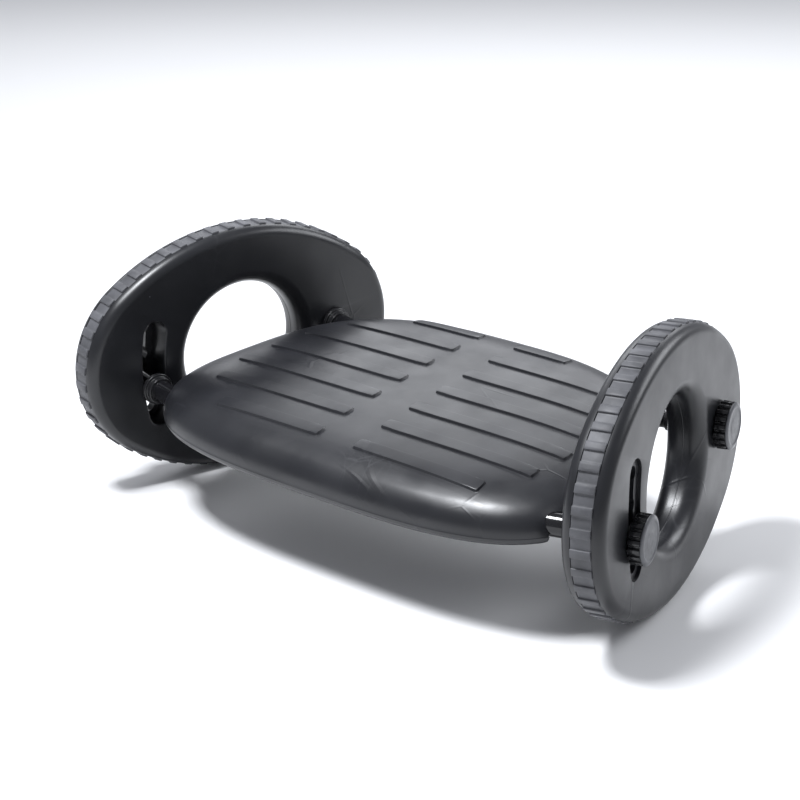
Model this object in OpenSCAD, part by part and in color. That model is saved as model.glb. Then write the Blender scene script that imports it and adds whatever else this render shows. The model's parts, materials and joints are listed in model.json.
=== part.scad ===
// Rocking footrest: a ribbed platform carried on two bent crossbars between two oval rockers.
// The rockers turn about the rear pins, and the front pins slide in detented slots to set the tilt.
// Frame: +X to the right, +Y to the rear, +Z up, origin on the floor under the middle.

/* [Rockers] */
// Distance from the middle to the centre of each rocker
rocker_x = 235; // [225:1:250]
// Half length of the oval rim
rocker_half_length = 164; // [155:1:175]
// Half height of the oval rim
rocker_half_height = 115.4; // [110:0.2:122]
// Thickness from inner face to outer face
rocker_t = 36; // [32:1:40]
// Radius of the rounded shoulders beside the tread
shoulder_r = 10; // [7:0.5:12]
// Radius of the big central hole at its narrowest
hole_r = 61; // [54:1:66]
// Radius that rounds the edges of the central hole
hole_edge_r = 14; // [8:1:16]

/* [Tread] */
// Width of the rubber tread band
tread_w = 15.8; // [12:0.2:20]
// Thickness of the band where it has no bar
tread_land = 2.6; // [2:0.1:4]
// Height of the bars above the band
bar_h = 1.8; // [1:0.1:3]
// Bars on each end arc
end_bars = 10; // [5:1:14]
// Bars on each long arc
long_bars = 16; // [9:1:25]
// Share of each pitch that the bar fills
bar_share = 0.42; // [0.3:0.01:0.6]

/* [Pins and tilt] */
// Rear pin, behind the rocker's centre
rear_pin_u = 100; // [95:1:104]
// Rear pin, above the rocker's centre
rear_pin_v = 5; // [0:0.5:10]
// Distance between the front and rear pins
pin_gap = 198.4; // [192:0.2:202]
// Platform tilt at rest, front edge low
lean = 6.8; // [0:0.1:7.5]
// Angle between two detents of the slot
detent_step = 7.5; // [6:0.5:8]
// Detents above the rest position
detents_up = 2; // [1:1:2]
// Detents below the rest position
detents_down = 1; // [0:1:1]
// Angle that the crossbar ends are bent towards the rear
bend = 13.5; // [8:0.5:16]

/* [Crossbars] */
// Outside diameter of the crossbar tube
bar_d = 20; // [18:0.5:22]
// Wall of the crossbar tube
bar_wall = 2; // [1.5:0.1:3]
// Distance from the rocker's middle plane to the corner of the bend
bend_from_rocker = 72; // [66:1:90]
// Outside diameter of the collars
collar_d = 29; // [27:0.5:32]
// Thread diameter of the studs
stud_d = 8; // [8:0.5:9]

/* [Knobs] */
// Knob diameter over the ribs
knob_d = 41; // [36:0.5:44]
// Length of the knob body
knob_l = 11.5; // [10:0.5:14]
// Ribs round the knob
knob_ribs = 18; // [12:1:24]

/* [Platform] */
// Half width of the platform at its middle
deck_half_w = 216; // [200:1:217]
// Half depth of the platform
deck_half_d = 147; // [140:1:148]
// Middle of the platform, behind the front pins
deck_mid_y = 79; // [76:1:82]
// Height of the crown above the crossbar axes
deck_top = 28; // [24:0.5:32]
// Depth of the underside below the crossbar axes
deck_bottom = 13; // [12.5:0.5:16]
// Rows of foot ribs in each of the two columns
rib_rows = 7; // [5:1:8]
// Pitch of the rows
rib_pitch = 36.2; // [32:0.2:38]
// Width of a foot rib
rib_w = 13; // [9:0.5:16]
// Height of a foot rib
rib_h = 1.8; // [1:0.1:3]
// Inner ends of the left column, from the middle
rib_gap_left = 17.5; // [12:0.5:24]
// Inner ends of the right column, from the middle
rib_gap_right = 22.5; // [12:0.5:24]
// How far both columns lie behind the middle of the platform
rib_shift = 4.8; // [0:0.2:6]
// How far the left column lies behind the shift, and the right one in front of it
rib_stagger = 0.4; // [0:0.1:2]

/* [Hidden] */
$fn = 64;
eps = 0.02;
fit = 0.05;               // radial running clearance at the rear pins
gap = 0.3;                // free gap between bodies that don't bear on each other
face_n = rocker_t / 2;    // height of a rocker face above its middle plane
web_in = 6;               // inner side of the web that the studs pass through
web_out = face_n - 3;     // outer side of the web, the floor of the washer pockets
pocket_r = 12.5;
slot_r = 11.5;            // inner slot round the front pin
stud_slot_r = 4.6;        // neck of the stud slot
detent_r = 6.6;
bar_r = bar_d / 2;
bar_end = web_in - gap;   // end of the tube, measured from the rocker's middle plane
knob_base = face_n + 0.7;
washer_base = web_out + 0.1;
washer_t = knob_base - 0.1 - washer_base;
knob_top = knob_base + knob_l;
// The oval's four arcs join on lines through their centres that rise 4 for every 3 along.
join_unit = (rocker_half_length - rocker_half_height) / 2;
end_c = 3 * join_unit;    // end arc centres, from the rocker's centre
long_c = 4 * join_unit;   // long arc centres, from the rocker's centre
end_arc_r = rocker_half_length - end_c;
long_r = rocker_half_height + long_c;
long_half = atan(3 / 4);
groove_d = tread_land + 1.2;
front_pin_u = rear_pin_u - pin_gap * cos(lean);
front_pin_v = rear_pin_v - pin_gap * sin(lean);
tilt = atan(tan(lean) / cos(bend));
camber = asin(sin(bend) * sin(tilt));
centre_w = -front_pin_u * cos(lean) - front_pin_v * sin(lean);
centre_h = front_pin_u * sin(lean) - front_pin_v * cos(lean);
pin_x = rocker_x + sin(bend) * centre_w;
tread_top = rocker_half_height - groove_d + tread_land + bar_h;
rocker_z = tread_top * cos(camber) + tread_w / 2 * sin(camber);
deck_y = -(centre_w * cos(bend) * cos(tilt) - centre_h * sin(tilt));
deck_z = rocker_z - (centre_w * cos(bend) * sin(tilt) + centre_h * cos(tilt));
deck_taper = tan(bend);
// Section of the platform's edge: height, and how far the outline is drawn in there.
edge_levels = [[-deck_bottom, 2], [-9, 0], [0, 1], [8, 4.5], [15, 11], [20, 21], [24, 38], [deck_top - 1.2, 70],
    [deck_top, 112]];
strap_w = 26;
strap_l = 58;
strap_t = 2.6;
strap_screw_y = 21;
strap_x = [150, 110];     // straps of the front bar and of the rear bar
screw_l = 15;
black = [0.08, 0.08, 0.09];
charcoal = [0.20, 0.20, 0.21];
steel = [0.6, 0.6, 0.62];
ENDS = ["front", "rear"];
SIDES = ["left", "right"];
PIN_PARTS = ["collar", "plug", "stud", "washer", "knob", "cap", "nut"];

// ---- frames ----

// Platform frame: +X right, +Y rear along the tilted platform, origin between the front pins.
module in_platform() { translate([0, deck_y, deck_z]) rotate([tilt, 0, 0]) children(); }

module on_side(side) { mirror([side == "left" ? 1 : 0, 0, 0]) children(); }

// Pin frame: +Z outward along the pin, +X rearward in the platform, origin in the rocker's middle plane.
module at_pin(end, side) {
    in_platform() on_side(side) translate([pin_x, 0, 0]) rotate([0, 0, bend])
        translate([0, end == "rear" ? pin_gap : 0, 0]) rotate([90, 0, 90]) children();
}

// Rocker frame: +Z outward, +X rearward and level, +Y up, origin at the rocker's centre.
module at_rocker(side) {
    at_pin("front", side) rotate([0, 0, -lean]) translate([-front_pin_u, -front_pin_v, 0]) children();
}

// ---- rockers and treads ----

// Part of a full turn of a (radius, height) section, inside the diamond with corners at the centre and at a and b.
module turned_sector(a, b, $fn = 160) {
    reach = 90;
    intersection() {
        rotate_extrude() children();
        translate([0, 0, -rocker_t]) linear_extrude(2 * rocker_t)
            polygon([[0, 0], reach * a, reach * (a + b), reach * b]);
    }
}

// Sweeps a section round the oval's two end arcs.
module sweep_end_arcs() {
    for (half = [0, 180]) rotate([0, 0, half]) translate([end_c, 0, 0]) turned_sector([3, -4], [3, 4]) children();
}

// Sweeps a section round the oval's two long arcs.
module sweep_long_arcs() {
    for (half = [0, 180]) rotate([0, 0, half]) translate([0, -long_c, 0]) turned_sector([3, 4], [-3, 4]) children();
}

module rim_section(r) {
    core = face_n - shoulder_r;
    difference() {
        union() {
            translate([0, -face_n]) square([r - shoulder_r, rocker_t]);
            translate([0, -core]) square([r, 2 * core]);
            for (z = [-core, core]) translate([r - shoulder_r, z]) circle(shoulder_r);
        }
        translate([r - groove_d, -tread_w / 2]) square([groove_d + 1, tread_w]);
        translate([-r, -rocker_t]) square([r, 2 * rocker_t]);
    }
}

module hole_section() {
    straight = face_n - hole_edge_r;
    translate([0, -rocker_t]) square([hole_r, 2 * rocker_t]);
    for (flip = [0, 1]) mirror([0, flip]) difference() {
        translate([0, straight]) square([hole_r + hole_edge_r, rocker_t]);
        translate([hole_r + hole_edge_r, straight]) circle(hole_edge_r);
    }
}

// Outline of a slot that follows the front pin round the rear pin. Its round ends are wider by eps,
// so that they cross its side walls instead of only touching them.
module slot_outline(r, $fn = 240) {
    ends = [180 + lean - detents_up * detent_step, 180 + lean + detents_down * detent_step];
    translate([rear_pin_u, rear_pin_v]) {
        intersection() {
            difference() {
                circle(pin_gap + r);
                circle(pin_gap - r);
            }
            polygon([[0, 0], for (a = ends) 2 * pin_gap * [cos(a), sin(a)]]);
        }
        for (a = ends) rotate(a) translate([pin_gap, 0]) circle(r + eps);
    }
}

module pin_slot(r, z0, z1) { translate([0, 0, z0]) linear_extrude(z1 - z0) slot_outline(r); }

module rocker(side) {
    color(black) at_rocker(side) difference() {
        union() {
            sweep_end_arcs() rim_section(end_arc_r);
            sweep_long_arcs() rim_section(long_r);
        }
        rotate_extrude() hole_section();
        pin_slot(slot_r, -face_n - 1, web_in);
        pin_slot(stud_slot_r, web_in - 1, web_out + 1);
        pin_slot(pocket_r, web_out, face_n + 1);
        for (i = [-detents_up : detents_down])
            translate([rear_pin_u, rear_pin_v, 0]) rotate([0, 0, 180 + lean + i * detent_step])
                translate([pin_gap, 0, web_in - 1]) cylinder(r = detent_r, h = web_out - web_in + 2);
        translate([rear_pin_u, rear_pin_v, 0]) {
            translate([0, 0, -face_n - 1]) cylinder(r = bar_r + fit, h = face_n + 1 + web_in);
            translate([0, 0, web_in - 1]) cylinder(r = stud_slot_r, h = web_out - web_in + 2);
            translate([0, 0, web_out]) cylinder(r = pocket_r, h = face_n - web_out + 1);
        }
    }
}

module band_section(r) { translate([r - groove_d, -tread_w / 2]) square([tread_land, tread_w]); }

module bars(r, start, angle, count, $fn = 160) {
    step = angle / count;
    for (i = [0 : count - 1])
        rotate_extrude(angle = step * bar_share, start = start + (i + 0.5 - bar_share / 2) * step)
            translate([r - groove_d + tread_land / 2, -tread_w / 2]) square([tread_land / 2 + bar_h, tread_w]);
}

module tread(side) {
    color(charcoal) at_rocker(side) {
        sweep_end_arcs() band_section(end_arc_r);
        sweep_long_arcs() band_section(long_r);
        for (half = [0, 180]) rotate([0, 0, half]) {
            translate([end_c, 0, 0]) bars(end_arc_r, long_half - 90, 180 - 2 * long_half, end_bars);
            translate([0, -long_c, 0]) bars(long_r, 90 - long_half, 2 * long_half, long_bars);
        }
    }
}

// ---- crossbars and what is fixed to them ----

// Sweeps a section along the crossbar's centreline, in the platform frame, with mitred bends.
module along_crossbar(end, tip = bar_end) {
    pin_y = end == "rear" ? pin_gap * cos(bend) : 0;
    pin_end_x = pin_x - (end == "rear" ? pin_gap * sin(bend) : 0);
    corner_x = pin_end_x - bend_from_rocker * cos(bend);
    corner_y = pin_y - bend_from_rocker * sin(bend);
    lap = 5;
    difference() {
        translate([-corner_x - lap, corner_y, 0]) rotate([90, 0, 90])
            linear_extrude(2 * (corner_x + lap)) children();
        for (side = SIDES) on_side(side) translate([corner_x, corner_y, 0])
            rotate([0, 0, bend / 2]) translate([0, -50, -50]) cube([50, 100, 100]);
    }
    for (side = SIDES) on_side(side) translate([corner_x, corner_y, 0]) difference() {
        rotate([0, 0, bend]) translate([-lap, 0, 0]) rotate([90, 0, 90])
            linear_extrude(lap + bend_from_rocker + tip) children();
        rotate([0, 0, bend / 2]) translate([-50, -50, -50]) cube([50, 100, 100]);
    }
}

module crossbar(end) {
    color(black) in_platform() difference() {
        along_crossbar(end) circle(bar_r);
        along_crossbar(end, bar_end + 1) circle(bar_r - bar_wall);
    }
}

module collar() {
    flange_t = 4;
    color(black) difference() {
        translate([0, 0, -face_n - gap - flange_t]) {
            cylinder(d = collar_d, h = flange_t);
            translate([0, 0, -5]) cylinder(r = bar_r + 2, h = 5 + eps);
        }
        translate([0, 0, -rocker_t]) cylinder(r = bar_r, h = rocker_t);
    }
}

module plug() {
    depth = 20;
    color(steel) translate([0, 0, bar_end - depth]) difference() {
        cylinder(r = bar_r - bar_wall, h = depth);
        translate([0, 0, -1]) cylinder(d = stud_d, h = depth + 2);
    }
}

module stud() {
    inside = 18;
    tip = knob_top - 2.8;
    color(steel) translate([0, 0, bar_end - inside]) cylinder(d = stud_d, h = inside + tip - bar_end);
}

module washer() {
    color(charcoal) translate([0, 0, washer_base]) difference() {
        cylinder(r = pocket_r - 0.6, h = washer_t);
        translate([0, 0, -1]) cylinder(d = stud_d + 0.6, h = washer_t + 2);
    }
}

module nut_prism(across, h) { cylinder(d = across / cos(30), h = h, $fn = 6); }

module knob() {
    rib_depth = 1.6;
    nut_seat = knob_base + 3;
    color(black) difference() {
        union() {
            translate([0, 0, knob_base]) cylinder(d = knob_d - 2 * rib_depth, h = knob_l - 1);
            for (i = [0 : knob_ribs - 1]) rotate([0, 0, i * 360 / knob_ribs])
                translate([knob_d / 2 - rib_depth - 2, -1.5, knob_base]) cube([rib_depth + 2, 3, knob_l - 1]);
        }
        cylinder(d = stud_d + 0.6, h = knob_top);
        translate([0, 0, nut_seat]) nut_prism(13.2, knob_l);
        translate([0, 0, knob_top - 2.3]) cylinder(r = 10, h = 3);
    }
}

module cap() {
    rim_t = 1;
    color(charcoal) translate([0, 0, knob_top - rim_t]) difference() {
        union() {
            cylinder(d = knob_d - 0.6, h = rim_t);
            translate([0, 0, rim_t]) cylinder(d1 = knob_d - 0.6, d2 = knob_d - 5, h = 1.2);
            translate([0, 0, -1.2]) cylinder(r = 9.8, h = 1.3);
        }
        translate([0, 0, rim_t + 0.5]) cylinder(d = knob_d - 13, h = 2);
    }
}

module nut() {
    color(steel) translate([0, 0, knob_base + 3]) difference() {
        nut_prism(13, 5.2);
        translate([0, 0, -1]) cylinder(d = stud_d + 2 * fit, h = 8);
    }
}

// ---- platform and its underside fixings ----

function superellipse(w, d, p, a) =
    [w * sign(cos(a)) * pow(abs(cos(a)), 2 / p), d * sign(sin(a)) * pow(abs(sin(a)), 2 / p)];

// Point of the plan outline, drawn in by inset: a squarish oval that narrows to the rear.
function plan_point(inset, a, z) =
    let (p = superellipse(1, deck_half_d - inset, 3.1, a))
    [p[0] * (deck_half_w - inset - deck_taper * p[1]), deck_mid_y + p[1], z];

// Solid through one ring of points per edge level, raised above the crossbar axes by raise.
module crown(raise) {
    steps = 40;
    levels = len(edge_levels);
    points = [for (level = edge_levels, i = [0 : steps - 1])
        plan_point(level[1], (i + 0.5) * 360 / steps, level[0] + (level[0] > 0 ? raise : 0))];
    sides = [for (k = [0 : levels - 2], i = [0 : steps - 1])
        let (j = (i + 1) % steps)
        [k * steps + i, (k + 1) * steps + i, (k + 1) * steps + j, k * steps + j]];
    polyhedron(points, concat([[for (i = [0 : steps - 1]) i]], sides,
        [[for (i = [0 : steps - 1]) levels * steps - 1 - i]]));
}

// How much longer a foot rib is than the even distance inside the plan outline: the left ribs get shorter
// towards the front, and the right column has one long rib in front and a short one behind.
function rib_trim(side, row) =
    side < 0 ? (row == 0 ? 0 : -7 - 1.2 * (rib_rows - 1 - row))
    : row == 0 ? 17 : row == rib_rows - 1 ? -22 : -5;

module foot_ribs() {
    for (side = [-1, 1], row = [0 : rib_rows - 1]) {
        from_mid = (row - (rib_rows - 1) / 2) * rib_pitch;
        y = deck_mid_y + from_mid + rib_shift - side * rib_stagger;
        gap = side < 0 ? rib_gap_left : rib_gap_right;
        reach = pow(1 - pow(abs(from_mid) / (deck_half_d - 22), 3.1), 1 / 2.4);
        outer = reach * (deck_half_w - 34 - deck_taper * from_mid) + rib_trim(side, row);
        translate([side * gap, y - rib_w / 2, 0]) mirror([side < 0 ? 1 : 0, 0, 0])
            translate([rib_w / 2, 0, 0]) cube([outer - gap - rib_w, rib_w, 60]);
        for (x = [gap + rib_w / 2, outer - rib_w / 2])
            translate([side * x, y, 0]) cylinder(d = rib_w, h = 60);
    }
}

// Channel for a crossbar, round above it and open to the underside.
module channel(end) {
    r = bar_r + 0.3;
    along_crossbar(end) union() {
        circle(r);
        translate([-r, -2 * bar_r]) square([2 * r, 2 * bar_r]);
    }
}

module strap_screw_points(end) {
    bar_y = (end == "rear" ? pin_gap * cos(bend) : 0) - bend_from_rocker * sin(bend);
    for (side = SIDES, dy = [-strap_screw_y, strap_screw_y])
        on_side(side) translate([strap_x[end == "rear" ? 1 : 0], bar_y + dy, 0]) children();
}

module strap_plate(end, grow) {
    bar_y = (end == "rear" ? pin_gap * cos(bend) : 0) - bend_from_rocker * sin(bend);
    translate([strap_x[end == "rear" ? 1 : 0] - strap_w / 2 - grow, bar_y - strap_l / 2 - grow, -deck_bottom - grow])
        cube([strap_w + 2 * grow, strap_l + 2 * grow, strap_t + 2 * grow]);
}

module platform() {
    color(charcoal) in_platform() difference() {
        union() {
            crown(0);
            intersection() {
                crown(rib_h);
                foot_ribs();
            }
        }
        for (end = ENDS) {
            channel(end);
            for (side = SIDES) on_side(side) strap_plate(end, 0.2);
            strap_screw_points(end) translate([0, 0, -deck_bottom]) cylinder(d = 3.6, h = screw_l);
        }
    }
}

module strap(end, side) {
    color(black) in_platform() difference() {
        on_side(side) strap_plate(end, 0);
        strap_screw_points(end) translate([0, 0, -deck_bottom - 1]) cylinder(d = 4.4, h = strap_t + 2);
    }
}

module strap_screws() {
    color(steel) in_platform() for (end = ENDS) strap_screw_points(end) translate([0, 0, -deck_bottom]) {
        translate([0, 0, -2]) cylinder(d = 8, h = 2);
        cylinder(d = 3.6, h = screw_l - 1);
    }
}

// ---- assembly ----

platform();
strap_screws();
for (side = SIDES) {
    rocker(side);
    tread(side);
}
for (end = ENDS) crossbar(end);
for (end = ENDS, side = SIDES) {
    corner = str(end, "_", side, "_");
    strap(end, side);
    at_pin(end, side) collar();
    at_pin(end, side) plug();
    at_pin(end, side) stud();
    at_pin(end, side) washer();
    at_pin(end, side) knob();
    at_pin(end, side) cap();
    at_pin(end, side) nut();
}
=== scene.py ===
"""Looks of the rocking footrest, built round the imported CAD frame.

The frame gives every position: pins and their directions come from the joints, the rockers' centres from
their boxes. Sizes below are in millimetres and repeat the part's own design values.
"""

import functools
import json
import math

import bmesh
import bpy
import numpy as np
from mathutils import Matrix, Vector


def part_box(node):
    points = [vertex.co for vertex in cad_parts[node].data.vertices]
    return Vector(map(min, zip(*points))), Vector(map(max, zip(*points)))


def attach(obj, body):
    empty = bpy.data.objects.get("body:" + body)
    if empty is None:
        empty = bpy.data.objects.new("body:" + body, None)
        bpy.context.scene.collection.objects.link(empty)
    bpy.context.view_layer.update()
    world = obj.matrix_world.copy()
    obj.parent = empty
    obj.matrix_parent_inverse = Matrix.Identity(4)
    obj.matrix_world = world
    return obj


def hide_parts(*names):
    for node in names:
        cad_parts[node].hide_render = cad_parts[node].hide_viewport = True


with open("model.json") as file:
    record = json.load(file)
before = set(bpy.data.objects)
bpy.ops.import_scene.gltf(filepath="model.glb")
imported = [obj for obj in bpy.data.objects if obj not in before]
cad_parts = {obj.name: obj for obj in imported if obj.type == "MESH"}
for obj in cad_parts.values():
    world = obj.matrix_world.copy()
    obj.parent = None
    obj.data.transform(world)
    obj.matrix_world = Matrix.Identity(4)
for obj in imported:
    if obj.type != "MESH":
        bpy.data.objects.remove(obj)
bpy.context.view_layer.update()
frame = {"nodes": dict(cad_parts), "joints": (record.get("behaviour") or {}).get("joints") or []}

MM = 0.001
SIDES = ("left", "right")
ENDS = ("front", "rear")

# Rocker and tread
HALF_L, HALF_H, THICK = 164.0, 115.4, 36.0
FACE = THICK / 2
SHOULDER_R = 10.0
HOLE_R, HOLE_EDGE_R = 61.0, 14.0
TREAD_W, TREAD_LAND, BAR_H = 16.8, 2.6, 1.8
RIM_DROP = 0.9
END_BARS, LONG_BARS, BAR_SHARE = 10, 16, 0.42
GROOVE_D = TREAD_LAND + 1.2
JOIN = (HALF_L - HALF_H) / 2
END_C, LONG_C = 3 * JOIN, 4 * JOIN
END_R, LONG_R = HALF_L - END_C, HALF_H + LONG_C
LONG_HALF = math.atan2(3, 4)
TREAD_EDGE = 0.35  # half width of a bar's sloping flank

# Pins and slots
LEAN, STEP, UP, DOWN = 6.8, 7.5, 2, 1
WEB_IN, WEB_OUT = 6.0, FACE - 3
SLOT_R, NECK_R, DETENT_R, POCKET_R = 11.5, 4.6, 6.6, 12.5
BAR_R, BAR_END = 10.0, 5.7
BEND, BEND_FROM_ROCKER, BEND_R = 13.5, 72.0, 42.0

# Knobs
KNOB_R, KNOB_BASE, KNOB_TOP, KNOB_RIBS = 20.5, FACE + 0.7, FACE + 12.2, 18
KNOB_GROOVE = 2.15

# Platform
DECK_W, DECK_D, DECK_MID, DECK_BOTTOM = 216.0, 147.0, 79.0, 13.0
TAPER, OUTLINE_P = math.tan(math.radians(BEND)), 3.1
RIB_ROWS, RIB_PITCH, RIB_W, RIB_H = 7, 36.2, 13.0, 1.8
RIB_STAGGER, RIB_SHIFT, RIB_CORNER, RIB_WALL = 0.4, 4.8, 2.5, 0.45
RIB_INNER = {-1: 17.5, 1: 22.5}
CROWN_INSET = 12.4
STRAP_X, STRAP_W, STRAP_L, STRAP_T = {"front": 150, "rear": 110}, 26.0, 58.0, 2.6
CHANNEL_GAP, STRAP_GAP = 0.3, 0.2


# ---- frames taken from the joints ----

JOINTS = {j["name"]: j for j in frame["joints"]}


def pin(end, side):
    """Point of a pin's axis in its rocker's middle plane, and the outward direction, in metres."""
    joint = JOINTS[f"{end}_{side}_knob_turn"]
    return Vector(joint["pos_m"]), Vector(joint["axis"]).normalized()


def axes_matrix(origin, x, y, z):
    """Local frame in mm, frozen so that it can be shared."""
    m = Matrix((x, y, z)).transposed().to_4x4()
    m.translation = origin
    return m @ Matrix.Scale(MM, 4)


@functools.cache
def rocker_matrix(side):
    """Rocker frame in mm: +X rearward and level, +Y up, +Z outward, origin at the rocker's centre."""
    out = pin("rear", side)[1]
    low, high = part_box(f"{side}_rocker")
    back = Vector((-out.y, out.x, 0)).normalized() * (1 if out.x > 0 else -1)
    up = out.cross(back) * (1 if out.x > 0 else -1)
    return axes_matrix((low + high) / 2, back, up, out)


@functools.cache
def deck_matrix():
    """Platform frame in mm: +X right, +Y rearward along the platform, origin between the front pins."""
    front = (pin("front", "left")[0] + pin("front", "right")[0]) / 2
    rear = (pin("rear", "left")[0] + pin("rear", "right")[0]) / 2
    y = (rear - front).normalized()
    x = Vector((1, 0, 0))
    return axes_matrix(front, x, y, x.cross(y))


def pin_matrix(end, side):
    """Pin frame in mm: +Z outward along the pin, origin in the rocker's middle plane."""
    at, out = pin(end, side)
    up = (deck_matrix().to_3x3() @ Vector((0, 0, 1))).normalized()
    back = up.cross(out) * (1 if out.x > 0 else -1)
    return axes_matrix(at, back.normalized(), up, out)


# ---- mesh helpers ----


def add_object(name, points, faces, matrix, body, replaced=(), smooth=35.0):
    """A mesh piece from points in a local frame, riding on a body."""
    mesh = bpy.data.meshes.new(name)
    mesh.from_pydata([tuple(p) for p in points], [], [tuple(f) for f in faces])
    piece = bpy.data.objects.new(name, mesh)
    bpy.context.scene.collection.objects.link(piece)
    mesh.transform(matrix)
    tidy_mesh(piece, smooth)
    if body:
        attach(piece, body)
        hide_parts(*replaced)
    return piece


def tidy_mesh(piece, smooth=35.0):
    """Merges doubles, turns the faces outward and shades them smooth up to an edge angle."""
    bm = bmesh.new()
    bm.from_mesh(piece.data)
    bmesh.ops.remove_doubles(bm, verts=bm.verts, dist=2e-6)
    bmesh.ops.dissolve_degenerate(bm, edges=bm.edges, dist=1e-6)
    bmesh.ops.recalc_face_normals(bm, faces=bm.faces)
    bm.to_mesh(piece.data)
    bm.free()
    piece.data.shade_smooth()
    piece.data.set_sharp_from_angle(angle=math.radians(smooth))


def ring_faces(rings, around, closed_rings=False):
    """Quads between successive rings of points, each ring closed on itself."""
    faces = []
    for r in range(rings if closed_rings else rings - 1):
        s = (r + 1) % rings
        for i in range(around):
            j = (i + 1) % around
            faces.append((r * around + i, r * around + j, s * around + j, s * around + i))
    return faces


def lathe(name, profile, matrix, body, replaced, around=96, smooth=35.0):
    """Solid of revolution about local +Z from (radius, height) points; ends at radius 0 close it."""
    turns = [2 * math.pi * i / around for i in range(around)]
    points = [(r * math.cos(a), r * math.sin(a), z) for r, z in profile for a in turns]
    closed = profile[0][0] > 1e-6
    faces = ring_faces(len(profile), around, closed_rings=closed)
    return add_object(name, points, faces, matrix, body, replaced, smooth)


def fillet(points, radii, steps=5):
    """Rounds the corners of an open (radius, height) polyline; radii is one number per point."""
    out = [points[0]]
    for before, corner, after, r in zip(points, points[1:-1], points[2:], radii[1:-1]):
        b, c, a = (Vector(p) for p in (before, corner, after))
        into, away = (b - c), (a - c)
        if r <= 0:
            out.append(tuple(c))
            continue
        half = into.angle(away) / 2
        reach = min(r / math.tan(half), into.length * 0.49, away.length * 0.49)
        start, end = c + into.normalized() * reach, c + away.normalized() * reach
        for k in range(steps + 1):
            t = k / steps
            out.append(tuple((1 - t) ** 2 * start + 2 * t * (1 - t) * c + t**2 * end))
    return out + [points[-1]]


def cut(piece, cutters):
    """Subtracts cutter objects from a piece, and removes them."""
    for cutter in cutters:
        modifier = piece.modifiers.new("cut", "BOOLEAN")
        modifier.operation = "DIFFERENCE"
        modifier.solver = "MANIFOLD"
        modifier.object = cutter
    bpy.context.view_layer.update()
    evaluated = piece.evaluated_get(bpy.context.evaluated_depsgraph_get())
    mesh = bpy.data.meshes.new_from_object(evaluated)
    piece.modifiers.clear()
    piece.data = mesh
    for cutter in cutters:
        bpy.data.objects.remove(cutter)


# ---- rockers ----


def oval_arcs(at_end, at_long):
    """The oval's four arcs as (centre, radius, middle angle, half angle, the number for its kind of arc)."""
    quarter = math.pi / 2
    end_half = quarter - LONG_HALF
    return (
        ((END_C, 0), END_R, 0, end_half, at_end),
        ((0, -LONG_C), LONG_R, quarter, LONG_HALF, at_long),
        ((-END_C, 0), END_R, 2 * quarter, end_half, at_end),
        ((0, LONG_C), LONG_R, 3 * quarter, LONG_HALF, at_long),
    )


def oval_points():
    """Points round the oval as (centre, radius, angle), which is also the direction of the outward normal."""
    spots = []
    for centre, radius, mid, half, count in oval_arcs(44, 64):
        spots += [(centre, radius, mid + half * (2 * i / count - 1)) for i in range(count)]
    return spots


def rim_offsets():
    """(distance outside the oval, height) from the inner face's edge, over the rim, to the outer face's."""
    core = FACE - SHOULDER_R
    lip, half_w, lip_r = 0.5, TREAD_W / 2, 0.5
    shoulder = [math.pi / 2 * k / 10 for k in range(11)]
    reach = SHOULDER_R - RIM_DROP
    side = [(reach * math.sin(a) - SHOULDER_R, core + SHOULDER_R * math.cos(a)) for a in shoulder]
    side = [(d, z) for d, z in side if z > half_w + lip_r]
    groove = [(-RIM_DROP, half_w + lip_r), (-RIM_DROP - 0.15, half_w + 0.15)]
    groove += [(-RIM_DROP - lip, half_w), (-GROOVE_D, half_w)]
    half = side + groove
    return half + [(d, -z) for d, z in reversed(half)]


def hole_offsets():
    """(distance inside the wall of the hole, height), with the moulding line in the middle."""
    straight = FACE - HOLE_EDGE_R
    arc = [math.pi / 2 * k / 12 for k in range(13)]
    edge = [(HOLE_EDGE_R * (1 - math.sin(a)), straight + HOLE_EDGE_R * math.cos(a)) for a in arc]
    line = [(0, 0.5), (-0.2, 0.2), (-0.2, -0.2), (0, -0.5)]
    return edge + line + [(d, -z) for d, z in reversed(edge)]


def slot_side(radius_at, steps=72):
    """Closed outline round the front pin's arc; radius_at(distance from the low end) is its half width."""
    rear = rear_pin_uv()
    gap = (front_pin_uv() - rear).length
    low, high = LEAN + DOWN * STEP, LEAN - UP * STEP
    length = math.radians(low - high) * gap
    outline = []

    def spot(along, off):
        a = math.radians(180 + low) - along / gap
        return rear + (gap + off) * Vector((math.cos(a), math.sin(a)))

    cap = 20
    r0, r1 = radius_at(0), radius_at(length)
    for k in range(steps + 1):
        s = length * k / steps
        outline.append(spot(s, radius_at(s)))
    for k in range(1, cap):
        t = math.pi / 2 - math.pi * k / cap
        outline.append(spot(length + r1 * math.cos(t), r1 * math.sin(t)))
    for k in range(steps + 1):
        s = length * (1 - k / steps)
        outline.append(spot(s, -radius_at(s)))
    for k in range(1, cap):
        t = -math.pi / 2 - math.pi * k / cap
        outline.append(spot(r0 * math.cos(t), r0 * math.sin(t)))
    return outline


def to_rocker(side, point):
    local = rocker_matrix(side).inverted() @ point
    return Vector((local.x, local.y))


@functools.cache
def rear_pin_uv():
    return to_rocker("right", pin("rear", "right")[0])


@functools.cache
def front_pin_uv():
    return to_rocker("right", pin("front", "right")[0])


def neck_radius(s):
    """Half width of the stud's slot, widened at each detent."""
    gap = (front_pin_uv() - rear_pin_uv()).length
    pitch = math.radians(STEP) * gap
    near = min(abs(s - i * pitch) for i in range(UP + DOWN + 1))
    return max(NECK_R, math.sqrt(max(DETENT_R**2 - near**2, 0)))


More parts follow.
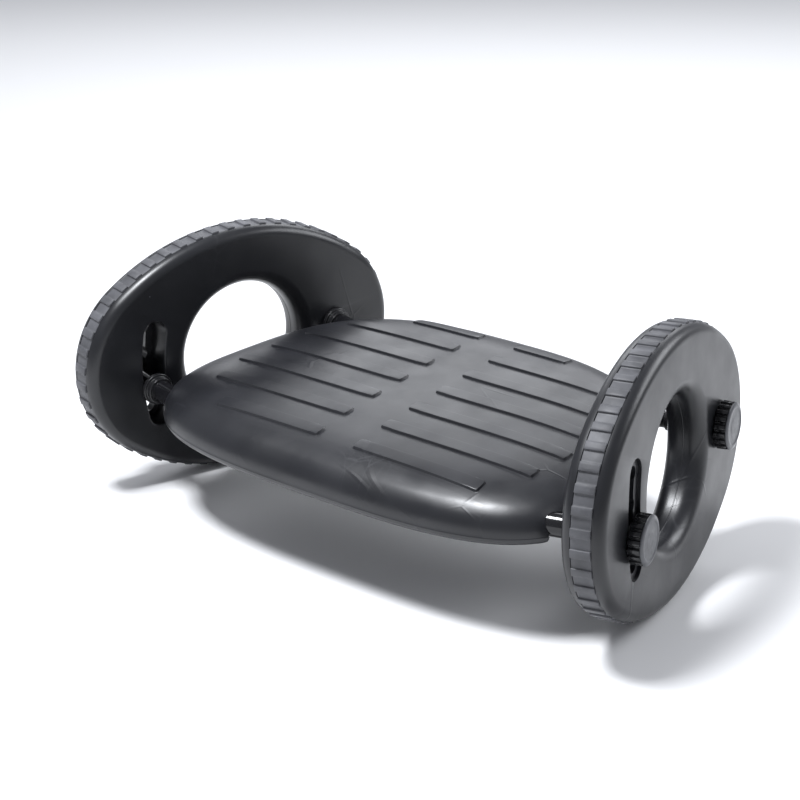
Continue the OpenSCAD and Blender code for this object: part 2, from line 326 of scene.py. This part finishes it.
def prism(name, levels, matrix):
    """Closed prism through outlines of equal count at rising heights: [(outline, height), ...]."""
    count = len(levels[0][0])
    points = [(p[0], p[1], z) for outline, z in levels for p in outline]
    faces = ring_faces(len(levels), count)
    faces += [tuple(range(count)), tuple(reversed(range(len(points) - count, len(points))))]
    return add_object(name, points, faces, matrix, None)


def circle_outline(centre, r, count=72):
    return [
        centre + r * Vector((math.cos(2 * math.pi * k / count), math.sin(2 * math.pi * k / count)))
        for k in range(count)
    ]


def flared(outline_at, deep, face, flare):
    """Levels of a cutter from its floor to past the face, opening by flare at the mouth."""
    s = 1 if face > deep else -1
    mouth = [(0, flare), (flare * 0.3, flare * 0.5), (flare, flare * 0.12), (flare * 1.6, 0)]
    levels = [(outline_at(0), deep)]
    levels += [(outline_at(grow), face - s * down) for grow, down in mouth]
    return levels + [(outline_at(flare * 1.6), face + s * 2)]


def rocker_cutters(side):
    m = rocker_matrix(side)
    rear = rear_pin_uv()
    slot = lambda r: lambda grow: slot_side(lambda s: r + grow)
    bore = lambda r: lambda grow: circle_outline(rear, r + grow)
    return [
        prism("slot_cut", flared(slot(SLOT_R), WEB_IN, -FACE, 1.0), m),
        prism("pocket_cut", flared(slot(POCKET_R), WEB_OUT, FACE, 0.3), m),
        prism("neck_cut", [(slot_side(neck_radius), z) for z in (WEB_IN - 1, WEB_OUT + 1)], m),
        prism("bore_cut", flared(bore(BAR_R + 0.05), WEB_IN, -FACE, 0.6), m),
        prism("seat_cut", flared(bore(POCKET_R), WEB_OUT, FACE, 0.8), m),
        prism("stud_cut", [(circle_outline(rear, NECK_R), z) for z in (WEB_IN - 1, WEB_OUT + 1)], m),
    ]


def build_rocker(side):
    spots = oval_points()
    rings = []
    for d, z in rim_offsets():
        rings.append([(c[0] + (r + d) * math.cos(a), c[1] + (r + d) * math.sin(a), z) for c, r, a in spots])
    for d, z in reversed(hole_offsets()):
        ring = []
        for c, r, a in spots:
            at = Vector((c[0] + r * math.cos(a), c[1] + r * math.sin(a))).normalized()
            ring.append((at.x * (HOLE_R + d), at.y * (HOLE_R + d), z))
        rings.append(ring)
    points = [p for ring in rings for p in ring]
    faces = ring_faces(len(rings), len(spots), closed_rings=True)
    piece = add_object(f"{side}_rocker_shell", points, faces, rocker_matrix(side), None)
    cut(piece, rocker_cutters(side))
    tidy_mesh(piece, 30)
    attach(piece, f"{side}_rocker")
    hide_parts(f"{side}_rocker")
    return piece


# ---- treads ----


def tread_samples():
    """(centre, radius, angle, rise) round the oval: rise runs from 0 between bars to 1 on them."""
    inner = 3
    samples = []
    for centre, radius, mid, half, bars in oval_arcs(END_BARS, LONG_BARS):
        step = 2 * half / bars
        soft = TREAD_EDGE / radius
        for i in range(bars):
            start = mid - half + i * step
            a0 = mid - half + (i + 0.5 - BAR_SHARE / 2) * step
            a1 = a0 + BAR_SHARE * step
            end = mid - half + (i + 1) * step
            marks = [(start + (a0 - soft - start) * k / inner, 0) for k in range(inner)]
            marks += [(a0 - soft, 0), (a0 - soft * 0.1, 0.12), (a0 + soft * 0.1, 0.85), (a0 + soft, 1)]
            marks += [(a0 + soft + (a1 - a0 - 2 * soft) * k / inner, 1) for k in range(1, inner)]
            marks += [(a1 - soft, 1), (a1 - soft * 0.1, 0.85), (a1 + soft * 0.1, 0.12), (a1 + soft, 0)]
            marks += [(a1 + soft + (end - a1 - soft) * k / inner, 0) for k in range(1, inner)]
            samples += [(centre, radius, angle, rise) for angle, rise in marks]
    return samples


def build_tread(side):
    half_w, soft = TREAD_W / 2 - 0.12, 0.45
    samples = tread_samples()
    flank = [(-1.0, -half_w), (0.0, -half_w), (0.72, -half_w)]
    flank += [(0.93, -half_w + soft * 0.3), (1.0, -half_w + soft)]
    rings = []
    for lift, z in flank + [(1.0, 0)] + [(lift, -z) for lift, z in reversed(flank)]:
        ring = []
        for c, r, a, rise in samples:
            base = r - GROOVE_D
            top = base + TREAD_LAND + BAR_H * rise
            at = base if lift < 0 else base + (top - base) * (0.4 + 0.6 * lift)
            ring.append((c[0] + at * math.cos(a), c[1] + at * math.sin(a), z))
        rings.append(ring)
    points = [p for ring in rings for p in ring]
    faces = ring_faces(len(rings), len(samples), closed_rings=True)
    piece = add_object(
        f"{side}_tread_band", points, faces, rocker_matrix(side), f"{side}_rocker", [f"{side}_tread"], 50
    )
    return piece


# ---- platform ----


def edge_profile():
    """(inset, height) from the underside's edge, round the rim, to the middle of the crown."""
    knots = [
        (26, -13), (9, -13), (5, -12.9), (2.6, -12.1), (1.1, -10.6), (0.35, -8.6), (0.12, -6.9),
        (0.0, -6.5), (0.0, -5.9), (0.25, -5.5), (0.35, -3.4), (0.9, 0), (2.2, 4), (4.4, 8), (7.8, 11.8),
        (CROWN_INSET, 15.4),
    ]
    return knots


def crown_height(inset):
    """Height of the crown inside the rounded edge."""
    knots_t = np.array([0, 4.4, 12.4, 18.5, 26, 38, 52, 70, 90, 112, 150])
    knots_h = np.array([-2, 8, 15.4, 18.6, 21.4, 24.0, 25.6, 26.8, 27.6, 28.0, 28.0])
    return smooth_interp(inset, knots_t, knots_h)


def smooth_interp(x, xs, ys):
    """Monotone cubic interpolation through (xs, ys)."""
    slope = np.diff(ys) / np.diff(xs)
    tangent = np.zeros_like(ys, dtype=float)
    tangent[0], tangent[-1] = slope[0], slope[-1]
    for i in range(1, len(xs) - 1):
        if slope[i - 1] * slope[i] > 0:
            tangent[i] = 2 / (1 / slope[i - 1] + 1 / slope[i])
    x = np.clip(x, xs[0], xs[-1])
    i = np.clip(np.searchsorted(xs, x) - 1, 0, len(xs) - 2)
    h = xs[i + 1] - xs[i]
    t = (x - xs[i]) / h
    return (
        ys[i] * (1 + 2 * t) * (1 - t) ** 2
        + tangent[i] * h * t * (1 - t) ** 2
        + ys[i + 1] * t * t * (3 - 2 * t)
        + tangent[i + 1] * h * t * t * (t - 1)
    )


def inset_of(x, y):
    """How far a point is inside the plan outline, by the family of outlines that the edge is drawn with."""
    y = y - DECK_MID
    low, high = np.full_like(x, -2.0), np.full_like(x, DECK_D - 1)
    for _ in range(40):
        t = (low + high) / 2
        depth, width = DECK_D - t, DECK_W - t - TAPER * y
        outside = (np.abs(x) / np.maximum(width, 1)) ** OUTLINE_P + (np.abs(y) / depth) ** OUTLINE_P > 1
        high = np.where(outside, t, high)
        low = np.where(outside, low, t)
    return (low + high) / 2


def outline_point(inset, angle):
    c, s = math.cos(angle), math.sin(angle)
    y = (DECK_D - inset) * math.copysign(abs(s) ** (2 / OUTLINE_P), s)
    x = (DECK_W - inset - TAPER * y) * math.copysign(abs(c) ** (2 / OUTLINE_P), c)
    return x, y + DECK_MID


def angle_of(inset, x, y):
    """Angle at which outline_point(inset, angle) gives this point of that outline."""
    y = y - DECK_MID
    s = math.copysign(abs(y / (DECK_D - inset)) ** (OUTLINE_P / 2), y)
    c = math.copysign(abs(x / (DECK_W - inset - TAPER * y)) ** (OUTLINE_P / 2), x)
    return math.atan2(s, c)


def rib_trim(side, row):
    """How much longer a foot rib is than the even distance inside the plan outline."""
    last = RIB_ROWS - 1
    if side < 0:
        return 0 if row == 0 else -7 - 1.2 * (last - row)
    return {0: 17, last: -22}.get(row, -5)


def rib_spans():
    """Per column side (-1 left, 1 right): list of (middle y, outer x) of each foot rib, front to rear."""
    spans = {}
    for side in (-1, 1):
        rows = []
        for row in range(RIB_ROWS):
            y = DECK_MID + (row - (RIB_ROWS - 1) / 2) * RIB_PITCH
            reach = (1 - (abs(y - DECK_MID) / (DECK_D - 22)) ** 3.1) ** (1 / 2.4)
            outer = reach * (DECK_W - 34 - TAPER * (y - DECK_MID)) + rib_trim(side, row)
            rows.append((y - side * RIB_STAGGER + RIB_SHIFT, outer))
        spans[side] = rows
    return spans


def rib_lift(x, y):
    """Height that the foot ribs add at points of the crown."""
    lift = np.zeros_like(x)
    for side, rows in rib_spans().items():
        for mid, outer in rows:
            inner = RIB_INNER[side]
            half = Vector(((outer - inner) / 2, RIB_W / 2))
            dx = np.abs(x * side - (outer + inner) / 2) - half.x + RIB_CORNER
            dy = np.abs(y - mid) - half.y + RIB_CORNER
            outside = np.hypot(np.maximum(dx, 0), np.maximum(dy, 0)) + np.minimum(np.maximum(dx, dy), 0)
            t = np.clip((RIB_WALL - (outside - RIB_CORNER)) / (2 * RIB_WALL), 0, 1)
            lift = np.maximum(lift, RIB_H * t * t * (3 - 2 * t))
    return lift


def crown_grid():
    """Structured grid over the crown, with its lines gathered at the walls of the foot ribs."""
    inset = CROWN_INSET
    spans = rib_spans()
    cluster = [-1.15, -0.75, -0.38, 0, 0.38, 0.75, 1.15]
    rows = []
    for row in range(RIB_ROWS):
        base = (row - (RIB_ROWS - 1) / 2) * RIB_PITCH
        if row == 0:
            rows += [(base - RIB_W / 2 - d, 0.0) for d in (6.5, 3.2)]
        rows += [(base - RIB_W / 2 + c, float(row)) for c in cluster]
        rows += [(base + d, float(row)) for d in (-2.4, 2.4)]
        rows += [(base + RIB_W / 2 + c, float(row)) for c in cluster]
        if row < RIB_ROWS - 1:
            space = RIB_PITCH - RIB_W
            rows += [(base + RIB_W / 2 + space * k / 5, row + k / 5) for k in range(1, 5)]
        else:
            rows += [(base + RIB_W / 2 + d, float(row)) for d in (3.2, 6.5)]
    grid = []
    for dy, at in rows:
        line = []
        for side in (-1, 1):
            y = DECK_MID + dy - side * RIB_STAGGER + RIB_SHIFT
            inner = RIB_INNER[side]
            outer = np.interp(at, range(RIB_ROWS), [r[1] for r in spans[side]])
            p = (abs(y - DECK_MID) / (DECK_D - inset)) ** OUTLINE_P
            edge = (DECK_W - inset - TAPER * (y - DECK_MID)) * (1 - p) ** (1 / OUTLINE_P)
            xs = [edge + (outer + 1.6 - edge) * k / 5 for k in range(5)]
            xs += [outer - c for c in cluster]
            body = outer - inner - 3.2
            xs += [outer - 1.6 - body * k / 15 for k in range(1, 15)]
            xs += [inner + c for c in reversed(cluster)]
            xs += [inner * k for k in (0.8, 0.62)]
            half = [(side * x, y) for x in xs]
            line += half if side < 0 else [(0.0, DECK_MID + dy + RIB_SHIFT)] + half[::-1]
        grid.append(line)
    for line in grid:
        middle = len(line) // 2
        for i, (x, y) in enumerate(line):
            blend = min(max(x / (RIB_INNER[-1] * 0.8), -1), 1)
            line[i] = (x, line[middle][1] - RIB_STAGGER * blend)
    return grid, inset


def build_deck():
    grid, inset = crown_grid()
    n_rows, n_cols = len(grid), len(grid[0])
    profile = edge_profile()
    top = [[np.array(p) for p in line] for line in grid]

    def cap(line, forward, steps=7):
        """Rows between an end row of the grid and the arc of the inset outline beyond it."""
        a0, a1 = angle_of(inset, *line[0]), angle_of(inset, *line[-1])
        if forward:
            a0, a1 = a0 % (2 * math.pi), a1 % (2 * math.pi)
        x0, x1 = line[0][0], line[-1][0]
        starts = [np.array(p) for p in line]
        shares = [(x - x0) / (x1 - x0) for x, _ in line]
        ends = [np.array(outline_point(inset, a0 + (a1 - a0) * share)) for share in shares]
        return [[p + (q - p) * k / steps for p, q in zip(starts, ends)] for k in range(1, steps + 1)]

    front, rear = cap(top[0], True), cap(top[-1], False)
    plan = front[::-1] + top + rear
    flat = np.array([p for line in plan for p in line])
    x, y = flat[:, 0], flat[:, 1]
    lift = crown_height(inset_of(x, y)) + rib_lift(x, y)
    points = [(a, b, c) for a, b, c in zip(x, y, lift)]
    faces = []
    for r in range(len(plan) - 1):
        for c in range(n_cols - 1):
            a = r * n_cols + c
            faces.append((a, a + 1, a + n_cols + 1, a + n_cols))

    first, last = len(front), len(front) + n_rows - 1
    loop = [(0, c) for c in range(n_cols)]
    loop += [(r, n_cols - 1) for r in range(first + 1, last)]
    loop += [(len(plan) - 1, c) for c in reversed(range(n_cols))]
    loop += [(r, 0) for r in reversed(range(first + 1, last))]
    angles = [angle_of(inset, *plan[r][c]) for r, c in loop]
    index = [r * n_cols + c for r, c in loop]
    rings = [index]
    for t, h in reversed(profile[:-1]):
        start = len(points)
        points += [(*outline_point(t, a), h) for a in angles]
        rings.append(list(range(start, start + len(loop))))
    for outer, inner in zip(rings, rings[1:]):
        for i in range(len(loop)):
            j = (i + 1) % len(loop)
            faces.append((outer[i], inner[i], inner[j], outer[j]))
    faces.append(tuple(rings[-1]))
    piece = add_object("platform_shell", points, faces, deck_matrix(), None)
    cut(piece, deck_cutters())
    tidy_mesh(piece, 32)
    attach(piece, "platform")
    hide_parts("platform")
    return piece


# ---- crossbars ----


def bar_path(end):
    """Centreline of a crossbar in the platform frame, with round bends, left tip to right tip."""
    deck = deck_matrix().inverted()
    tip, out = pin(end, "right")
    tip = deck @ tip
    turn = math.radians(BEND)
    corner = tip - BEND_FROM_ROCKER * Vector((math.cos(turn), math.sin(turn), 0))
    tip = tip + BAR_END * Vector((math.cos(turn), math.sin(turn), 0))
    reach = BEND_R * math.tan(turn / 2)
    centre = corner + Vector((-reach, BEND_R, 0))
    half = [tip, corner + (reach + 12) * Vector((math.cos(turn), math.sin(turn), 0))]
    for k in range(9):
        a = turn * (1 - k / 8)
        half.append(centre + BEND_R * Vector((math.sin(a), -math.cos(a), 0)))
    half.append(Vector((corner.x * 0.5, corner.y, 0)))
    left = [Vector((-p.x, p.y, p.z)) for p in half]
    return left + [Vector((0, corner.y, 0))] + half[::-1]


def tube(name, path, section, matrix, body, replaced):
    """Sweeps (sideways, up) section points along a flat path."""
    points = []
    for i, p in enumerate(path):
        ahead = path[min(i + 1, len(path) - 1)] - path[max(i - 1, 0)]
        side = Vector((-ahead.y, ahead.x, 0)).normalized()
        points += [p + side * a + Vector((0, 0, b)) for a, b in section]
    count = len(section)
    faces = ring_faces(len(path), count)
    faces += [tuple(range(count)), tuple(reversed(range(len(points) - count, len(points))))]
    return add_object(name, points, faces, matrix, body, replaced)


def build_crossbar(end):
    turns = [2 * math.pi * k / 48 for k in range(48)]
    section = [(BAR_R * math.cos(a), BAR_R * math.sin(a)) for a in turns]
    name, node = f"{end}_crossbar_tube", f"{end}_crossbar"
    piece = tube(name, bar_path(end), section, deck_matrix(), "platform", [node])
    return piece


def deck_cutters():
    """Channels for the crossbars, open below, and the recesses for the straps."""
    cutters = []
    half_w, half_l = STRAP_W / 2 + STRAP_GAP, STRAP_L / 2 + STRAP_GAP
    r = BAR_R + CHANNEL_GAP
    arch = [math.pi * k / 24 for k in range(25)]
    section = [(r * math.cos(a), r * math.sin(a)) for a in arch]
    section += [(-r, -DECK_BOTTOM - 4), (r, -DECK_BOTTOM - 4)]
    for end in ENDS:
        path = bar_path(end)
        cutters.append(tube(f"{end}_channel_cut", path, section, deck_matrix(), None, []))
        bar_y = path[len(path) // 2].y
        for x in (-STRAP_X[end], STRAP_X[end]):
            plate = [(x - half_w, bar_y - half_l), (x + half_w, bar_y - half_l)]
            plate += [(x + half_w, bar_y + half_l), (x - half_w, bar_y + half_l)]
            levels = [(plate, -DECK_BOTTOM - 3), (plate, STRAP_T + STRAP_GAP - DECK_BOTTOM)]
            cutters.append(prism(f"{end}_strap_cut", levels, deck_matrix()))
    return cutters


# ---- knobs, caps and collars ----


def build_knob(end, side):
    """Grip of a clamp knob with round ribs, which fade out at its base and top."""
    around = KNOB_RIBS * 12
    depth = KNOB_TOP - 1 - KNOB_BASE
    points = []
    # share of the depth, radius between the ribs, share of a rib's height
    levels = (
        (0, 4.6, 0), (0, 16.8, 0), (0, 17.8, 0.6), (0.5 / 11.2, 18.2, 1), (1.3 / 11.2, 18.3, 1),
        (10.2 / 11.2, 18.1, 1), (10.9 / 11.2, 17.9, 0.9), (1, 17.5, 0.4), (1, 4.6, 0),
    )
    for share, r, amount in levels:
        for i in range(around):
            a = 2 * math.pi * i / around
            bulge = 1 / (1 + math.exp(-7 * (math.cos(KNOB_RIBS * a) + 0.25)))
            reach = r + KNOB_GROOVE * amount * bulge
            points.append((reach * math.cos(a), reach * math.sin(a), KNOB_BASE + depth * share))
    faces = ring_faces(len(levels), around, closed_rings=True)
    node = f"{end}_{side}_knob"
    knob = add_object(f"{node}_grip", points, faces, pin_matrix(end, side), node, [node], 40)
    return knob


def build_cap(end, side):
    """Cap of a clamp knob: a bevelled ring round a shallow recess."""
    rim, base = KNOB_R - 0.3, KNOB_TOP - 1
    ring = [(0.5, 0.02), (0, 0.35), (0, 0.85), (0.35, 1.25), (2.9, 2.1), (3.6, 2.2), (4.3, 2.12)]
    ring += [(4.9, 1.75), (5.6, 1.6)]
    profile = [(0, base + 0.02)] + [(rim - inset, base + rise) for inset, rise in ring]
    profile += [(7.6, base + 1.55), (6.9, base + 1.75), (6.0, base + 1.8), (0, base + 1.8)]
    name, body, node = f"{end}_{side}_cap_disc", f"{end}_{side}_knob", f"{end}_{side}_cap"
    cap = lathe(name, profile, pin_matrix(end, side), body, [node], 96, 40)
    return cap


def build_collar(end, side):
    """Collar on a crossbar: a flange against the rocker and a short sleeve."""
    z0, flange, sleeve = -FACE - 0.3, 4.0, 5.0
    inner, neck, rim = BAR_R + 0.02, BAR_R + 2, 14.5
    z1, z2 = z0 - flange, z0 - flange - sleeve
    corners = [(inner, z0), (rim, z0), (rim, z1), (neck, z1), (neck, z2), (inner, z2)]
    profile = fillet(corners, [0, 0.6, 0.9, 0.8, 0.7, 0])
    name, node = f"{end}_{side}_collar_ring", f"{end}_{side}_collar"
    piece = lathe(name, profile, pin_matrix(end, side), "platform", [node], 72, 40)
    return piece


# ---- materials ----


class Nodes:
    """Short names for building one node material."""

    def __init__(self, name, base, rough, spec=0.5):
        self.mat = bpy.data.materials.new(name)
        self.mat.use_nodes = True
        self.tree = self.mat.node_tree
        self.shader = self.tree.nodes["Principled BSDF"]
        self.shader.inputs["Base Color"].default_value = (*base, 1)
        self.shader.inputs["Roughness"].default_value = rough
        self.shader.inputs["Specular IOR Level"].default_value = spec
        self.coords = self.tree.nodes.new("ShaderNodeTexCoord").outputs["Object"]

    def put(self, kind, inputs=None, **settings):
        node = self.tree.nodes.new(kind)
        for key, value in settings.items():
            setattr(node, key, value)
        for key, value in (inputs or {}).items():
            socket = node.inputs[key]
            if isinstance(value, bpy.types.NodeSocket):
                self.tree.links.new(value, socket)
            else:
                socket.default_value = value
        return node

    def stretched(self, scale):
        return self.put("ShaderNodeMapping", {"Vector": self.coords, "Scale": scale}).outputs["Vector"]

    def noise(self, scale, detail=4.0, vector=None):
        inputs = {"Vector": vector or self.coords, "Scale": scale, "Detail": detail}
        return self.put("ShaderNodeTexNoise", inputs).outputs["Fac"]

    def span(self, value, low, high, to_low=0.0, to_high=1.0):
        inputs = {"Value": value, "From Min": low, "From Max": high, "To Min": to_low, "To Max": to_high}
        return self.put("ShaderNodeMapRange", inputs).outputs["Result"]

    def math(self, operation, a, b):
        return self.put("ShaderNodeMath", {0: a, 1: b}, operation=operation).outputs["Value"]

    def mix(self, factor, a, b):
        inputs = {"Factor": factor, 6: a, 7: b}
        return self.put("ShaderNodeMix", inputs, data_type="RGBA").outputs[2]

    def bump(self, height, distance, strength=1.0, under=None):
        inputs = {"Height": height, "Distance": distance, "Strength": strength}
        if under:
            inputs["Normal"] = under
        return self.put("ShaderNodeBump", inputs).outputs["Normal"]

    def wire(self, name, socket):
        self.tree.links.new(socket, self.shader.inputs[name])


def specks(n, cells, size):
    """Mask of small round specks, one in some of the cells."""
    dots = n.put("ShaderNodeTexVoronoi", {"Vector": n.coords, "Scale": cells})
    near = n.span(dots.outputs["Distance"], size, size * 0.5)
    chosen = n.put("ShaderNodeSeparateColor", {"Color": dots.outputs["Color"]}).outputs["Red"]
    return n.math("MULTIPLY", near, n.span(chosen, 0.80, 0.82))


def scratches(n, scale, thin):
    """Mask of a few faint, long marks."""
    inputs = {"Vector": n.stretched(scale), "Scale": 1.0}
    marks = n.put("ShaderNodeTexVoronoi", inputs, feature="DISTANCE_TO_EDGE")
    line = n.span(marks.outputs["Distance"], thin, 0.0)
    patch = n.span(n.noise(9.0, 2.0), 0.56, 0.66)
    return n.math("MULTIPLY", line, patch)


def moulded_plastic(name, base, rough, waves, grain):
    """Satin blow-moulded polyethylene: soft waves, fine grain, flow lines, specks and faint scratches."""
    n = Nodes(name, base, rough)
    dark = (*[c * 0.82 for c in base], 1)
    light = (*[c * 1.22 for c in base], 1)
    tone = n.mix(n.span(n.noise(14.0, 5.0), 0.35, 0.68), dark, light)
    dust = specks(n, 55.0, 0.035)
    marks = scratches(n, (60, 22, 35), 0.02)
    tone = n.mix(n.math("MULTIPLY", marks, 0.35), tone, (*[c * 2.4 for c in base], 1))
    n.wire("Base Color", n.mix(n.math("MULTIPLY", dust, 0.6), tone, (0.30, 0.30, 0.32, 1)))
    gloss = n.span(n.noise(30.0, 6.0), 0.3, 0.75, rough - 0.05, rough + 0.07)
    n.wire("Roughness", n.math("ADD", gloss, n.math("MULTIPLY", marks, 0.10)))
    wave = n.bump(n.noise(11.0, 2.0), waves)
    creases = scratches(n, (8, 13, 8), 0.014)
    wave = n.bump(creases, 0.00016, under=wave)
    flow = n.bump(n.noise(1.0, 2.0, n.stretched((70, 70, 7))), waves * 0.10, under=wave)
    fine = n.bump(n.noise(1500.0, 2.0), grain, under=flow)
    n.wire("Normal", fine)
    return n.mat


def rubber(name, base):
    n = Nodes(name, base, 0.6)
    light = (*[c * 1.3 for c in base], 1)
    dark = (*[c * 0.75 for c in base], 1)
    tone = n.mix(n.span(n.noise(45.0, 6.0), 0.35, 0.7), dark, light)
    dust = n.span(n.noise(160.0, 8.0), 0.55, 0.8, 0.0, 0.35)
    n.wire("Base Color", n.mix(dust, tone, (*[c * 1.9 for c in base], 1)))
    n.wire("Roughness", n.span(n.noise(70.0, 5.0), 0.3, 0.7, 0.48, 0.64))
    coarse = n.bump(n.noise(260.0, 5.0), 0.00008)
    n.wire("Normal", n.bump(n.noise(1800.0, 2.0), 0.00003, under=coarse))
    return n.mat


def gloss_black(name, base, rough, peel):
    """Gloss black with a slight orange peel and a few rubbed patches."""
    n = Nodes(name, base, rough)
    tone = n.mix(n.span(n.noise(60.0, 4.0), 0.4, 0.7), (*base, 1), (*[c * 1.5 for c in base], 1))
    n.wire("Base Color", tone)
    n.wire("Roughness", n.span(n.noise(90.0, 6.0), 0.35, 0.75, rough, rough + 0.10))
    n.wire("Normal", n.bump(n.noise(420.0, 2.0), peel))
    return n.mat


def cap_plastic(name, base):
    n = Nodes(name, base, 0.34)
    light = (*[c * 1.35 for c in base], 1)
    n.wire("Base Color", n.mix(n.span(n.noise(120.0, 5.0), 0.35, 0.7), (*base, 1), light))
    n.wire("Roughness", n.span(n.noise(260.0, 4.0), 0.3, 0.7, 0.28, 0.42))
    n.wire("Normal", n.bump(n.noise(1600.0, 2.0), 0.00003))
    return n.mat


def zinc(name):
    n = Nodes(name, (0.55, 0.55, 0.56), 0.3)
    n.shader.inputs["Metallic"].default_value = 1.0
    tone = n.mix(n.span(n.noise(180.0, 4.0), 0.35, 0.7), (0.46, 0.46, 0.47, 1), (0.66, 0.66, 0.66, 1))
    n.wire("Base Color", tone)
    n.wire("Roughness", n.span(n.noise(400.0, 5.0), 0.3, 0.7, 0.22, 0.42))
    n.wire("Normal", n.bump(n.noise(900.0, 2.0), 0.00002))
    return n.mat


def dress(piece, material):
    piece.data.materials.clear()
    piece.data.materials.append(material)


# ---- studio ----


def aim(thing, at, target):
    thing.location = at
    thing.rotation_mode = "QUATERNION"
    thing.rotation_quaternion = (Vector(target) - Vector(at)).to_track_quat("-Z", "Y")


def add_camera():
    camera = bpy.data.objects.new("camera", bpy.data.cameras.new("camera"))
    camera.data.sensor_width = 36.0
    camera.data.lens = 95.48
    camera.data.clip_end = 40.0
    aim(camera, (1.0880, -1.3305, 0.7763), (0.0067, -0.0490, 0.1322))
    bpy.context.scene.collection.objects.link(camera)
    bpy.context.scene.camera = camera


def softbox(name, toward, distance, size, power):
    """Area light that faces the object from a direction."""
    light = bpy.data.lights.new(name, "AREA")
    light.shape = "RECTANGLE"
    light.size, light.size_y = size
    light.energy = power
    light.color = (0.94, 0.96, 1.0)
    lamp = bpy.data.objects.new(name, light)
    bpy.context.scene.collection.objects.link(lamp)
    middle = Vector((0, 0, 0.12))
    aim(lamp, middle + Vector(toward).normalized() * distance, middle)


def add_studio():
    bpy.ops.mesh.primitive_plane_add(size=16, location=(0, 0, 0))
    floor = bpy.context.object
    floor.name = "studio_floor"
    n = Nodes("pale_floor", (0.86, 0.86, 0.86), 0.75, 0.2)
    n.wire("Base Color", n.mix(n.noise(3.0, 3.0), (0.85, 0.85, 0.85, 1), (0.87, 0.87, 0.87, 1)))
    floor.data.materials.append(n.mat)
    world = bpy.data.worlds.new("studio_world")
    world.use_nodes = True
    world.node_tree.nodes["Background"].inputs["Color"].default_value = (0.90, 0.925, 1.0, 1)
    world.node_tree.nodes["Background"].inputs["Strength"].default_value = 0.38
    bpy.context.scene.world = world
    bpy.context.scene.view_settings.view_transform = "Standard"
    softbox("overhead", (-0.18, -0.34, 0.92), 1.7, (0.50, 0.40), 46)
    softbox("rear_left", (-0.55, 0.66, 0.50), 2.4, (2.0, 0.9), 17)
    softbox("rear_right", (0.50, 0.85, 0.60), 2.6, (1.6, 1.0), 33)


# ---- build ----

plastic_deck = moulded_plastic("deck_polyethylene", (0.0125, 0.0130, 0.0155), 0.34, 0.0007, 0.00002)
plastic_rocker = moulded_plastic("rocker_polyethylene", (0.0095, 0.0100, 0.0120), 0.33, 0.0005, 0.00002)
tread_rubber = rubber("tread_rubber", (0.075, 0.076, 0.083))
bar_paint = gloss_black("bar_paint", (0.006, 0.006, 0.007), 0.10, 0.00002)
knob_black = gloss_black("knob_phenolic", (0.006, 0.006, 0.007), 0.13, 0.00002)
collar_black = gloss_black("collar_nylon", (0.010, 0.010, 0.011), 0.22, 0.00002)
strap_paint = gloss_black("strap_paint", (0.012, 0.012, 0.013), 0.30, 0.00002)
cap_grey = cap_plastic("cap_plastic", (0.050, 0.052, 0.058))
steel = zinc("zinc_plate")
nylon = cap_plastic("washer_nylon", (0.05, 0.05, 0.05))

add_camera()
add_studio()
dress(build_deck(), plastic_deck)
for end in ENDS:
    dress(build_crossbar(end), bar_paint)
for side in SIDES:
    dress(build_rocker(side), plastic_rocker)
    dress(build_tread(side), tread_rubber)
    for end in ENDS:
        dress(build_knob(end, side), knob_black)
        dress(build_cap(end, side), cap_grey)
        dress(build_collar(end, side), collar_black)

FINISH = {"strap": strap_paint, "plug": steel, "stud": steel, "nut": steel, "washer": nylon, "screws": steel}
for name, node in frame["nodes"].items():
    finish = FINISH.get(name.split("_")[-1])
    if finish:
        dress(node, finish)
